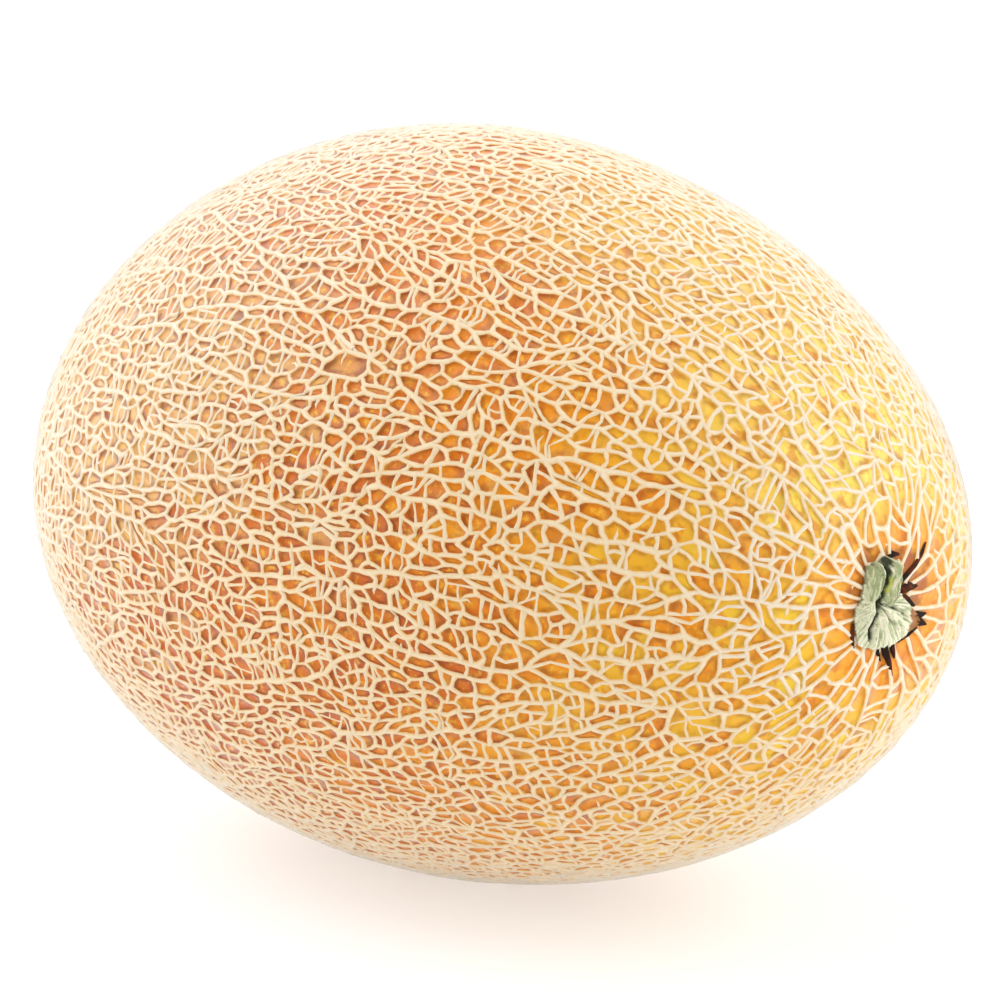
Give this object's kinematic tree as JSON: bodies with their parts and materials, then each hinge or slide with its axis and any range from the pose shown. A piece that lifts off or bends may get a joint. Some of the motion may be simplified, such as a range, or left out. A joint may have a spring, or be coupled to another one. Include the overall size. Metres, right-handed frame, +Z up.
{
  "type": "hami melon",
  "caption": "Whole oblong netted melon lying on its side on a small flat spot, with a dry stub of stalk at the stem end.",
  "frame": {"origin": "middle of the footprint's box, in the plane the melon rests on", "axes": "+X out of the stem end along the fruit's long axis, +Z up"},
  "size_m": [0.2412, 0.1668, 0.1644],
  "materials": {
    "rind": "orange-yellow skin under a raised net of dry cream cork",
    "dry_stalk": "dried grey-green fibrous stalk with dark torn edges"
  },
  "bodies": {
    "root": {"melon": "rind", "stem_stub": "dry_stalk"}
  },
  "joints": []
}
